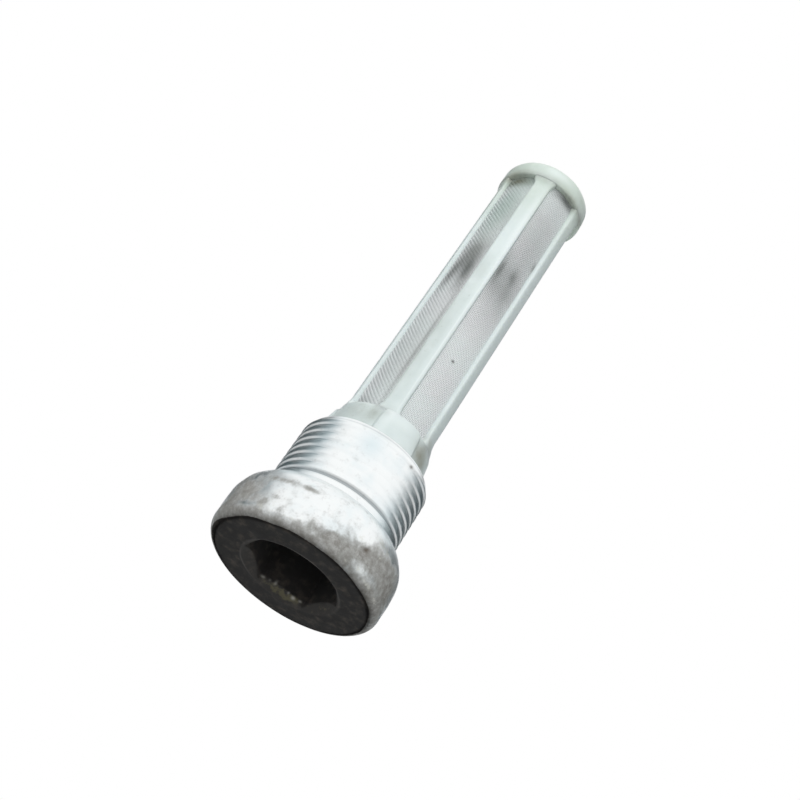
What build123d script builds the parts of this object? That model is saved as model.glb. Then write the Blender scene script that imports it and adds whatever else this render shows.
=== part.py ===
from build123d import *
from math import asin, degrees, radians, sin, sqrt
import os

os.makedirs("parts", exist_ok=True)

# Screw plug: round head
HEAD_DIAMETER = 28.8
HEAD_HEIGHT = 10.5
FACE_ROUND = 1.9
BACK_ROUND = 5.4
SEAT_WIDTH = 0.8

# Screw plug: threaded barrel
THREAD_DIAMETER = 22.0
THREAD_LENGTH = 11.5
THREAD_PITCH = 1.5
FIRST_GROOVE = 1.75
GROOVE_WIDTH = 0.9
GROOVE_DEPTH = 0.4
LEAD_IN_LENGTH = 1.3
LEAD_IN_DEPTH = 0.7
BORE_DIAMETER = 18.0
BORE_CHAMFER = 0.2
WEB_THICKNESS = 3.5

# Screw plug: hexagon socket for a key
KEY_SIZE = 14.0
SOCKET_DEPTH = 9.0
SOCKET_CHAMFER_DIAMETER = 16.8
SOCKET_CHAMFER_DEPTH = 1.0

# Strainer frame: spigot pressed into the barrel
SPIGOT_LENGTH = 8.5
SPIGOT_CLEARANCE = 0.03
SPIGOT_CHAMFER = 0.5

# Strainer frame: collar on the barrel's mouth, and its stop pads
COLLAR_HEIGHT = 5.5
COLLAR_TOP_DIAMETER = 16.4
PAD_COUNT = 3
PAD_DIAMETER = 19.4
PAD_TOP_DIAMETER = 17.0
PAD_WIDTH = 8.2
PAD_ANGLE = -81.0

# Strainer frame: ribs
RIB_COUNT = 5
RIB_WIDTH = 3.0
RIB_COVER = 0.55
RIB_BACKING = 0.52
RIB_ANGLE = -102.5
RIB_FLARE_LENGTH = 2.6
WINDOW_LENGTH = 57.7

# Strainer frame: ring at the tip
TIP_DIAMETER = 16.3
TIP_HEIGHT = 4.0
TIP_ROUND = 1.6
TIP_MOUTH_DIAMETER = 11.8
TIP_MOUTH_CHAMFER = 0.5

# Gauze sleeve: one wall, with ridges and gaps for its weave, held inside the frame
GAUZE_DIAMETER = 14.0
GAUZE_WALL = 0.25
GAUZE_RIDGE = 0.12
GAUZE_RIDGE_WIDTH = 0.4
GAUZE_TUCK = 1.6
GAUZE_CLEARANCE = 0.03
GAP_ROWS = 12
GAP_COLUMNS = 2
GAP_BAR = 1.0

# Heights and radii that follow from the sizes above
seat_z = HEAD_HEIGHT
thread_end_z = seat_z + THREAD_LENGTH
mouth_z = thread_end_z + LEAD_IN_LENGTH
bore_floor_z = SOCKET_DEPTH + WEB_THICKNESS
window_low_z = mouth_z + COLLAR_HEIGHT
window_high_z = window_low_z + WINDOW_LENGTH
tip_z = window_high_z + TIP_HEIGHT
spigot_radius = BORE_DIAMETER / 2 - SPIGOT_CLEARANCE
gauze_radius = GAUZE_DIAMETER / 2
slot_outer_radius = gauze_radius + GAUZE_RIDGE + GAUZE_CLEARANCE
slot_inner_radius = gauze_radius - GAUZE_WALL - GAUZE_CLEARANCE
rib_radius = slot_outer_radius + RIB_COVER
frame_inner_radius = slot_inner_radius - RIB_BACKING
gauze_low_z = window_low_z - GAUZE_TUCK
gauze_high_z = window_high_z + GAUZE_TUCK


def turned(*edges):
    """Turn a closed outline in the XZ plane about the Z axis into a solid."""
    return revolve(make_face(Curve() + list(edges)), Axis.Z)


def tube(outer_radius, inner_radius, low_z, high_z):
    """A plain tube on the Z axis between two heights."""
    length = high_z - low_z
    wall = Circle(outer_radius) - Circle(inner_radius)
    return extrude(Pos(0, 0, low_z) * wall, length)


# Screw plug

def thread_outline():
    """Points up the barrel's side, in and out of the groove below each turn of the thread."""
    crest = THREAD_DIAMETER / 2
    last_groove = THREAD_LENGTH - FIRST_GROOVE - GROOVE_WIDTH / 2
    points = []
    for turn in range(int(last_groove / THREAD_PITCH) + 1):
        middle_z = seat_z + FIRST_GROOVE + turn * THREAD_PITCH
        points += [
            (crest, 0, middle_z - GROOVE_WIDTH / 2),
            (crest - GROOVE_DEPTH, 0, middle_z),
            (crest, 0, middle_z + GROOVE_WIDTH / 2),
        ]
    return points


def plug_body():
    """The head and barrel as one turned solid, still without its socket and bore."""
    head_radius = HEAD_DIAMETER / 2
    thread_radius = THREAD_DIAMETER / 2
    seat_radius = thread_radius + SEAT_WIDTH
    back_centre_r = head_radius - BACK_ROUND
    back_low_z = seat_z - sqrt(BACK_ROUND**2 - (seat_radius - back_centre_r)**2)
    lead_radius = thread_radius - LEAD_IN_DEPTH
    face_edge = (head_radius - FACE_ROUND, 0, 0)
    flank_low = (head_radius, 0, FACE_ROUND)
    flank_high = (head_radius, 0, back_low_z)
    seat_edge = (seat_radius, 0, seat_z)
    return turned(
        Line((0, 0, 0), face_edge),
        TangentArc(face_edge, flank_low, tangent=(1, 0, 0)),
        Line(flank_low, flank_high),
        TangentArc(flank_high, seat_edge, tangent=(0, 0, 1)),
        Polyline(
            seat_edge,
            (thread_radius, 0, seat_z),
            *thread_outline(),
            (thread_radius, 0, thread_end_z),
            (lead_radius, 0, mouth_z),
            (0, 0, mouth_z),
            (0, 0, 0),
        ),
    )


def hex_socket():
    """The space for the key: a hexagon with a turned chamfer at its mouth."""
    corner_radius = KEY_SIZE / sqrt(3)
    hexagon = extrude(RegularPolygon(corner_radius, 6), SOCKET_DEPTH)
    chamfer_radius = SOCKET_CHAMFER_DIAMETER / 2
    inner_radius = chamfer_radius - SOCKET_CHAMFER_DEPTH
    mouth = Cone(
        chamfer_radius,
        inner_radius,
        SOCKET_CHAMFER_DEPTH,
        align=(Align.CENTER, Align.CENTER, Align.MIN),
    )
    return hexagon + mouth


def barrel_bore():
    """The space that takes the frame's spigot, with a chamfered mouth."""
    radius = BORE_DIAMETER / 2
    return turned(
        Polyline(
            (0, 0, bore_floor_z),
            (radius, 0, bore_floor_z),
            (radius, 0, mouth_z - BORE_CHAMFER),
            (radius + BORE_CHAMFER, 0, mouth_z),
            (0, 0, mouth_z),
            (0, 0, bore_floor_z),
        )
    )


def screw_plug():
    """Plug with a domed round head, a blind hexagon socket and a hollow threaded barrel."""
    return plug_body() - hex_socket() - barrel_bore()


# Strainer frame

def spigot_and_collar():
    """The pressed spigot and the tapered collar above it, as one turned ring."""
    low_z = mouth_z - SPIGOT_LENGTH
    return turned(
        Polyline(
            (frame_inner_radius, 0, low_z),
            (spigot_radius - SPIGOT_CHAMFER, 0, low_z),
            (spigot_radius, 0, low_z + SPIGOT_CHAMFER),
            (spigot_radius, 0, mouth_z),
            (COLLAR_TOP_DIAMETER / 2, 0, window_low_z),
            (frame_inner_radius, 0, window_low_z),
            (frame_inner_radius, 0, low_z),
        )
    )


def stop_pads():
    """Raised pads on the collar, whose lower ends stop on the barrel's mouth."""
    ring = turned(
        Polyline(
            (frame_inner_radius, 0, mouth_z),
            (PAD_DIAMETER / 2, 0, mouth_z),
            (PAD_TOP_DIAMETER / 2, 0, window_low_z),
            (frame_inner_radius, 0, window_low_z),
            (frame_inner_radius, 0, mouth_z),
        )
    )
    sector = Pos(0, 0, mouth_z) * Box(
        PAD_DIAMETER,
        PAD_WIDTH,
        COLLAR_HEIGHT,
        align=(Align.MIN, Align.CENTER, Align.MIN),
    )
    turns = PolarLocations(0, PAD_COUNT, start_angle=PAD_ANGLE)
    return [ring & (turn * sector) for turn in turns]


def rib():
    """One straight rib along +X, flared where it runs into the collar."""
    ring = turned(
        Polyline(
            (frame_inner_radius, 0, window_low_z),
            (COLLAR_TOP_DIAMETER / 2, 0, window_low_z),
            (rib_radius, 0, window_low_z + RIB_FLARE_LENGTH),
            (rib_radius, 0, window_high_z),
            (frame_inner_radius, 0, window_high_z),
            (frame_inner_radius, 0, window_low_z),
        )
    )
    bar = Pos(0, 0, window_low_z) * Box(
        COLLAR_TOP_DIAMETER,
        RIB_WIDTH,
        WINDOW_LENGTH,
        align=(Align.MIN, Align.CENTER, Align.MIN),
    )
    return ring & bar


def tip_ring():
    """The open ring that closes the ribs at the tip and seats in the housing."""
    outer_radius = TIP_DIAMETER / 2
    mouth_radius = TIP_MOUTH_DIAMETER / 2
    side_top = (outer_radius, 0, tip_z - TIP_ROUND)
    top_edge = (outer_radius - TIP_ROUND, 0, tip_z)
    return turned(
        TangentArc(side_top, top_edge, tangent=(0, 0, 1)),
        Polyline(
            top_edge,
            (mouth_radius + TIP_MOUTH_CHAMFER, 0, tip_z),
            (mouth_radius, 0, tip_z - TIP_MOUTH_CHAMFER),
            (mouth_radius, 0, window_high_z),
            (outer_radius, 0, window_high_z),
            side_top,
        ),
    )


def gauze_slot():
    """The thin annular space that the gauze sleeve fills inside the moulding."""
    return tube(slot_outer_radius, slot_inner_radius, gauze_low_z, gauze_high_z)


def strainer_frame():
    """One moulding: spigot, collar with stop pads, ribs and tip ring, moulded round the gauze."""
    ribs = [turn * rib() for turn in PolarLocations(0, RIB_COUNT, start_angle=RIB_ANGLE)]
    frame = spigot_and_collar() + stop_pads() + ribs + tip_ring()
    return frame - gauze_slot()


# Gauze sleeve

def gap_columns():
    """Angle of each column of gaps, and the angle that one column takes up."""
    rib_angle = 2 * degrees(asin(RIB_WIDTH / 2 / gauze_radius))
    bar_angle = degrees(GAP_BAR / gauze_radius)
    column_angle = (360 / RIB_COUNT - rib_angle - bar_angle) / GAP_COLUMNS
    first_angle = (rib_angle + bar_angle + column_angle) / 2
    angles = []
    for window in range(RIB_COUNT):
        window_angle = RIB_ANGLE + window * 360 / RIB_COUNT + first_angle
        angles += [window_angle + column * column_angle for column in range(GAP_COLUMNS)]
    return angles, column_angle


def gauze_wall():
    """The thin wall, with a raised wire along each side of every column of gaps."""
    sleeve = tube(gauze_radius, gauze_radius - GAUZE_WALL, gauze_low_z, gauze_high_z)
    angles, column_angle = gap_columns()
    wire = Pos(gauze_radius - GAUZE_WALL / 2, 0, gauze_low_z) * Box(
        GAUZE_WALL / 2 + GAUZE_RIDGE,
        GAUZE_RIDGE_WIDTH,
        gauze_high_z - gauze_low_z,
        align=(Align.MIN, Align.CENTER, Align.MIN),
    )
    sides = {round(angle + side * column_angle / 2, 6) for angle in angles for side in (-1, 1)}
    return sleeve + [Rot(0, 0, side) * wire for side in sorted(sides)]


def gauze_gaps():
    """The gaps of the weave, in rows and columns within each window between two ribs."""
    angles, column_angle = gap_columns()
    bar_angle = degrees(GAP_BAR / gauze_radius)
    row_pitch = (WINDOW_LENGTH - GAP_BAR) / GAP_ROWS
    first_z = window_low_z + (GAP_BAR + row_pitch) / 2
    gap = Box(
        2 * (GAUZE_WALL + GAUZE_RIDGE),
        2 * gauze_radius * sin(radians(column_angle - bar_angle) / 2),
        row_pitch - GAP_BAR,
    )
    gaps = []
    for angle in angles:
        column = Rot(0, 0, angle) * Pos(gauze_radius - GAUZE_WALL / 2, 0, first_z)
        gaps += [column * Pos(0, 0, row * row_pitch) * gap for row in range(GAP_ROWS)]
    return gaps


def gauze_sleeve():
    """Sleeve of woven gauze, held by its ends and along the ribs in the moulding."""
    return gauze_wall() - gauze_gaps()


PARTS = {
    "screw_plug": screw_plug,
    "strainer_frame": strainer_frame,
    "gauze_sleeve": gauze_sleeve,
}

for name, make in PARTS.items():
    part = make()
    part.label = name
    export_step(part, f"parts/{name}.step")
    print(name, "volume", round(part.volume, 1), "mm3, height", round(part.bounding_box().max.Z, 2))
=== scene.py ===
"""Looks of a fuel pump strainer: a zinc plated screw plug carrying a nylon strainer with woven steel gauze.

Everything is in metres in the object's own frame. The head's face stands on the floor at height zero, the
strainer's tip points up along +Z, and the photographed side looks towards -Y. Sizes in the classes are written
in millimetres, as on a drawing, and turned to metres when a mesh is made. Angles round the axis are given as
"front angles": zero faces the camera side, positive runs to the viewer's right.
"""
import logging
import math
from dataclasses import dataclass
from enum import Enum

import bpy
import numpy as np
from mathutils import Matrix


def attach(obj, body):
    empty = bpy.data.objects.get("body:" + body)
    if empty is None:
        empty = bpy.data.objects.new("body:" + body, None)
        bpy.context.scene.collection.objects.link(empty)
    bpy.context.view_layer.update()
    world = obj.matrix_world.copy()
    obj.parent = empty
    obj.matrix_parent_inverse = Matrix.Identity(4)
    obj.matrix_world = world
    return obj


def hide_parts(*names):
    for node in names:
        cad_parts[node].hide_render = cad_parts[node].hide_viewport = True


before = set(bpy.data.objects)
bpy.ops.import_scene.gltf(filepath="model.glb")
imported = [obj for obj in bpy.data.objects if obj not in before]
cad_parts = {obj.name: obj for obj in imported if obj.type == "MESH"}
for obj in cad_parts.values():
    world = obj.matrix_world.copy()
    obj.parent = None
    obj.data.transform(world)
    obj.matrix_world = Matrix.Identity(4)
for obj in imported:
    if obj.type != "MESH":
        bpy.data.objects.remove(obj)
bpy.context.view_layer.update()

logging.basicConfig(level=logging.INFO, format="%(message)s")
LOG = logging.getLogger("strainer")

MM = 0.001
FRONT = -90.0


class Slot(Enum):
    """Names of material slots."""

    PLUG = "plug_steel"
    FRAME = "frame_nylon"
    GAUZE = "gauze_steel"


class Shape(Enum):
    """How the ends of a grid are closed."""

    POLES = "poles"
    LOOP = "loop"
    SHEET = "sheet"


# Numbers as whole arrays


def smoothstep(low: float, high: float, value: np.ndarray) -> np.ndarray:
    """Rise from 0 at low to 1 at high, as 3t^2 - 2t^3 of the clamped share t.

    Args:
        low: value at which the rise starts.
        high: value at which it ends; it may be below low for a fall.
        value: what is measured.

    Returns:
        The share for each entry of value.
    """
    share = np.clip((value - low) / (high - low), 0.0, 1.0)
    return share * share * (3.0 - 2.0 * share)


def angle_gap(angle: np.ndarray, centre: float) -> np.ndarray:
    """Signed difference of two angles in degrees, wrapped to -180..180.

    Args:
        angle: angles in degrees.
        centre: the angle they are compared with.

    Returns:
        The wrapped difference.
    """
    return (angle - centre + 180.0) % 360.0 - 180.0


def bell(distance: np.ndarray, width: float) -> np.ndarray:
    """Bell curve exp(-(distance / width)^2)."""
    return np.exp(-((distance / width) ** 2))


def run(start: float, end: float, count: int) -> np.ndarray:
    """Evenly spaced values from start to end, with the end left out so that runs can be joined."""
    return np.linspace(start, end, count, endpoint=False)


def ripple(angle: np.ndarray, height: np.ndarray, seed: int, waves: int) -> np.ndarray:
    """Gentle unevenness over a turned surface.

    The value is a sum of sines cos(n * angle + m * height + p), whose whole numbers n and m and shifts p come
    from a seeded draw, divided by the square root of their count.

    Args:
        angle: angle round the axis in radians.
        height: distance along the profile in millimetres.
        seed: seed of the draw.
        waves: number of sines.

    Returns:
        Values of about -1 to 1.
    """
    draw = np.random.default_rng(seed)
    turns = draw.integers(2, 15, waves)
    rises = draw.uniform(-1.6, 1.6, waves)
    shifts = draw.uniform(0.0, 2.0 * math.pi, waves)
    total = np.zeros(np.broadcast(angle, height).shape)
    for turn, rise, shift in zip(turns, rises, shifts):
        total = total + np.cos(turn * angle + rise * height + shift)
    return total / math.sqrt(waves)


# Meshes


@dataclass
class Surface:
    """Points, four-sided and three-sided faces, and values per point, ready to become a mesh."""

    points: np.ndarray
    quads: np.ndarray
    triangles: np.ndarray
    wrap: np.ndarray
    values: dict[str, np.ndarray]

    @staticmethod
    def grid(
        x: np.ndarray, y: np.ndarray, z: np.ndarray, shape: Shape, values: dict[str, np.ndarray], closed: bool = True
    ) -> "Surface":
        """Make a surface from a grid of points.

        Rows follow a profile and columns go round. Each quad joins neighbouring rows and columns, and goes
        counterclockwise seen from outside when rows rise and columns turn to the left.

        Args:
            x: first coordinates in millimetres, rows by columns.
            y: second coordinates.
            z: heights.
            shape: POLES adds a point on the axis at both ends, LOOP joins the last row to the first.
            values: named values per grid point, rows by columns.
            closed: whether the last column joins the first.

        Returns:
            The surface.
        """
        rows, columns = x.shape
        points = np.stack([x, y, z], axis=-1).reshape(-1, 3)
        row_starts = np.arange(rows if shape is Shape.LOOP else rows - 1)[:, None] * columns
        next_starts = (row_starts + columns) % (rows * columns)
        here = np.arange(columns if closed else columns - 1)[None, :]
        after = (here + 1) % columns
        quads = np.stack(
            [row_starts + here, row_starts + after, next_starts + after, next_starts + here], axis=-1
        ).reshape(-1, 4)
        along = np.repeat(np.linspace(0.0, 1.0, rows)[:, None], columns, axis=1)
        around = np.repeat(np.linspace(0.0, 1.0, columns)[None, :], rows, axis=0)
        wrap = np.stack([around, along], axis=-1).reshape(-1, 2)
        flat = {name: np.asarray(value, float).reshape(-1) for name, value in values.items()}
        triangles = np.zeros((0, 3), int)
        if shape is Shape.POLES:
            count = rows * columns
            poles = np.array([[0.0, 0.0, z[0].mean()], [0.0, 0.0, z[-1].mean()]])
            points = np.concatenate([points, poles])
            wrap = np.concatenate([wrap, [[0.5, 0.0], [0.5, 1.0]]])
            flat = {name: np.concatenate([v, [v[0], v[count - 1]]]) for name, v in flat.items()}
            column = np.arange(columns)
            turned = (column + 1) % columns
            last = (rows - 1) * columns
            first_cap = np.stack([np.full(columns, count), turned, column], axis=-1)
            last_cap = np.stack([last + column, last + turned, np.full(columns, count + 1)], axis=-1)
            triangles = np.concatenate([first_cap, last_cap])
        return Surface(points, quads, triangles, wrap, flat)

    @staticmethod
    def joined(surfaces: list["Surface"]) -> "Surface":
        """Put several surfaces into one, each keeping its own points.

        Args:
            surfaces: surfaces that carry the same named values.

        Returns:
            One surface.
        """
        starts = np.cumsum([0] + [len(s.points) for s in surfaces[:-1]])
        return Surface(
            np.concatenate([s.points for s in surfaces]),
            np.concatenate([s.quads + start for s, start in zip(surfaces, starts)]),
            np.concatenate([s.triangles + start for s, start in zip(surfaces, starts)]),
            np.concatenate([s.wrap for s in surfaces]),
            {name: np.concatenate([s.values[name] for s in surfaces]) for name in surfaces[0].values},
        )

    def to_piece(self, name: str, material: bpy.types.Material, slot: Slot) -> bpy.types.Object:
        """Make a smooth-shaded object at the origin that rides on the fixed body.

        Args:
            name: the piece's name.
            material: its finish.
            slot: not used.

        Returns:
            The object.
        """
        mesh = bpy.data.meshes.new(name)
        loops = np.concatenate([self.quads.reshape(-1), self.triangles.reshape(-1)])
        sides = np.concatenate([np.full(len(self.quads), 4), np.full(len(self.triangles), 3)])
        starts = np.concatenate([[0], np.cumsum(sides)[:-1]])
        mesh.vertices.add(len(self.points))
        mesh.vertices.foreach_set("co", (self.points * MM).astype(np.float32).ravel())
        mesh.loops.add(len(loops))
        mesh.loops.foreach_set("vertex_index", loops.astype(np.int32))
        mesh.polygons.add(len(sides))
        mesh.polygons.foreach_set("loop_start", starts.astype(np.int32))
        mesh.update(calc_edges=True)
        mesh.validate()
        mesh.shade_smooth()
        uv_map = mesh.uv_layers.new(name="wrap")
        corners = np.empty(len(mesh.loops), np.int32)
        mesh.loops.foreach_get("vertex_index", corners)
        uv_map.data.foreach_set("uv", self.wrap[corners].astype(np.float32).ravel())
        for label, value in self.values.items():
            layer = mesh.attributes.new(label, "FLOAT", "POINT")
            layer.data.foreach_set("value", value.astype(np.float32))
        mesh.materials.append(material)
        piece = bpy.data.objects.new(name, mesh)
        bpy.context.scene.collection.objects.link(piece)
        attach(piece, "root")
        LOG.info("%s: %d faces", name, len(mesh.polygons))
        return piece


# Shader nodes

Socket = bpy.types.NodeSocket


class NodeBoard:
    """Places and wires shader nodes on one node tree."""

    def __init__(self, tree: bpy.types.NodeTree) -> None:
        """Keep the tree that nodes go on."""
        self.tree = tree

    def put(self, kind: str, fields: dict | None = None, inputs: dict | None = None) -> bpy.types.Node:
        """Add a node.

        Args:
            kind: the node's type name.
            fields: properties to set on it.
            inputs: values or sockets for its inputs, by name or number.

        Returns:
            The node.
        """
        node = self.tree.nodes.new(kind)
        for name, value in (fields or {}).items():
            setattr(node, name, value)
        for key, value in (inputs or {}).items():
            if isinstance(value, Socket):
                self.tree.links.new(value, node.inputs[key])
            else:
                node.inputs[key].default_value = value
        return node

    def value(self, name: str) -> Socket:
        """A value that the mesh carries per point."""
        return self.put("ShaderNodeAttribute", {"attribute_name": name}).outputs["Fac"]

    def place(self) -> Socket:
        """The point in the object's own frame."""
        return self.put("ShaderNodeTexCoord").outputs["Object"]

    def stretch(self, vector: Socket, scale: tuple[float, float, float], turn: tuple = (0.0, 0.0, 0.0)) -> Socket:
        """The vector turned and then scaled per axis."""
        inputs = {"Vector": vector, "Scale": scale, "Rotation": turn}
        return self.put("ShaderNodeMapping", None, inputs).outputs["Vector"]

    def noise(self, vector: Socket, scale: float, detail: float = 3.0, rough: float = 0.55) -> Socket:
        """Soft noise of the given scale per metre, from 0 to 1."""
        inputs = {"Vector": vector, "Scale": scale, "Detail": detail, "Roughness": rough}
        return self.put("ShaderNodeTexNoise", None, inputs).outputs["Fac"]

    def math(self, operation: str, first: Socket | float, second: Socket | float = 0.0) -> Socket:
        """One arithmetic step on one or two values."""
        return self.put("ShaderNodeMath", {"operation": operation}, {0: first, 1: second}).outputs[0]

    def rise(self, value: Socket, low: float, high: float, top: float = 1.0) -> Socket:
        """Smooth rise from 0 at low to top at high."""
        inputs = {"Value": value, "From Min": low, "From Max": high, "To Max": top}
        return self.put("ShaderNodeMapRange", {"interpolation_type": "SMOOTHSTEP"}, inputs).outputs[0]

    def blend(self, share: Socket | float, first: Socket | tuple, second: Socket | tuple) -> Socket:
        """Colour between first and second by share."""
        colours = [c if isinstance(c, Socket) else (*c, 1.0) for c in (first, second)]
        inputs = {0: share, 6: colours[0], 7: colours[1]}
        return self.put("ShaderNodeMix", {"data_type": "RGBA"}, inputs).outputs[2]

    def between(self, share: Socket | float, first: Socket | float, second: Socket | float) -> Socket:
        """Value between first and second by share."""
        return self.put("ShaderNodeMix", {"data_type": "FLOAT"}, {0: share, 2: first, 3: second}).outputs[0]


def new_material(name: str) -> tuple[bpy.types.Material, NodeBoard, bpy.types.Node]:
    """Start a material with one Principled shader.

    Args:
        name: the material's name.

    Returns:
        The material, its board and its shader node.
    """
    material = bpy.data.materials.new(name)
    material.use_nodes = True
    material.node_tree.nodes.clear()
    board = NodeBoard(material.node_tree)
    shader = board.put("ShaderNodeBsdfPrincipled")
    board.put("ShaderNodeOutputMaterial", None, {"Surface": shader.outputs[0]})
    return material, board, shader


class SharedEffects:
    """Node groups that more than one finish uses, each built once."""

    def __init__(self) -> None:
        """Build both groups."""
        self.blotches = self._blotches()
        self.grain = self._grain()

    @staticmethod
    def _group(name: str, inputs: dict[str, tuple[str, float]], output: str) -> tuple[bpy.types.NodeTree, dict, NodeBoard]:
        """Start a node group.

        Args:
            name: the group's name.
            inputs: kind of socket and starting value by name.
            output: name of its one output value.

        Returns:
            The group, its input sockets by name, and its board.
        """
        tree = bpy.data.node_groups.new(name, "ShaderNodeTree")
        for label, (kind, start) in inputs.items():
            socket = tree.interface.new_socket(label, in_out="INPUT", socket_type=kind)
            if kind == "NodeSocketFloat":
                socket.default_value = start
        tree.interface.new_socket(output, in_out="OUTPUT", socket_type="NodeSocketFloat")
        board = NodeBoard(tree)
        entry = board.put("NodeGroupInput")
        return tree, {label: entry.outputs[label] for label in inputs}, board

    def _blotches(self) -> bpy.types.NodeTree:
        """Ragged stains: two sizes of noise, let through where their sum passes a limit that Amount lowers."""
        tree, sockets, board = self._group(
            "blotches",
            {
                "Vector": ("NodeSocketVector", 0.0),
                "Scale": ("NodeSocketFloat", 400.0),
                "Amount": ("NodeSocketFloat", 0.5),
                "Softness": ("NodeSocketFloat", 0.1),
            },
            "Mask",
        )
        fine_scale = board.math("MULTIPLY", sockets["Scale"], 3.7)
        coarse = board.put("ShaderNodeTexNoise", None, {"Vector": sockets["Vector"], "Scale": sockets["Scale"], "Detail": 4.0})
        fine = board.put("ShaderNodeTexNoise", None, {"Vector": sockets["Vector"], "Scale": fine_scale, "Detail": 3.0})
        both = board.between(0.35, coarse.outputs["Fac"], fine.outputs["Fac"])
        wide = board.math("ADD", board.math("MULTIPLY", both, 2.4), -0.7)
        limit = board.math("SUBTRACT", 1.1, board.math("MULTIPLY", sockets["Amount"], 1.2))
        above = board.math("SUBTRACT", wide, limit)
        spread = board.math("DIVIDE", above, sockets["Softness"])
        mask = board.rise(spread, -1.0, 1.0)
        board.put("NodeGroupOutput", None, {"Mask": mask})
        return tree

    def _grain(self) -> bpy.types.NodeTree:
        """Fine uneven height: coarse and fine noise added with their own weights."""
        tree, sockets, board = self._group(
            "grain",
            {
                "Vector": ("NodeSocketVector", 0.0),
                "Scale": ("NodeSocketFloat", 900.0),
                "Fineness": ("NodeSocketFloat", 0.5),
            },
            "Height",
        )
        fine_scale = board.math("MULTIPLY", sockets["Scale"], 5.3)
        coarse = board.put("ShaderNodeTexNoise", None, {"Vector": sockets["Vector"], "Scale": sockets["Scale"], "Detail": 2.0})
        fine = board.put("ShaderNodeTexNoise", None, {"Vector": sockets["Vector"], "Scale": fine_scale, "Detail": 4.0})
        height = board.between(sockets["Fineness"], coarse.outputs["Fac"], fine.outputs["Fac"])
        board.put("NodeGroupOutput", None, {"Height": height})
        return tree

    def stains(self, board: NodeBoard, vector: Socket, scale: float, amount: Socket | float, softness: float) -> Socket:
        """Place the blotches group.

        Args:
            board: where it goes.
            vector: the point on the surface.
            scale: blotches per metre.
            amount: share of the surface that they cover.
            softness: width of their edges.

        Returns:
            The mask.
        """
        inputs = {"Vector": vector, "Scale": scale, "Amount": amount, "Softness": softness}
        return board.put("ShaderNodeGroup", {"node_tree": self.blotches}, inputs).outputs["Mask"]

    def bump(self, board: NodeBoard, vector: Socket, scale: float, fineness: float, depth_mm: float) -> Socket:
        """Place the grain group and a bump of it.

        Args:
            board: where it goes.
            vector: the point on the surface.
            scale: coarse grains per metre.
            fineness: share of the fine grain.
            depth_mm: depth of the grain in millimetres.

        Returns:
            The normal.
        """
        inputs = {"Vector": vector, "Scale": scale, "Fineness": fineness}
        height = board.put("ShaderNodeGroup", {"node_tree": self.grain}, inputs).outputs["Height"]
        bumped = board.put("ShaderNodeBump", None, {"Height": height, "Distance": depth_mm * MM, "Strength": 1.0})
        return bumped.outputs["Normal"]


Colour = tuple[float, float, float]


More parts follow.
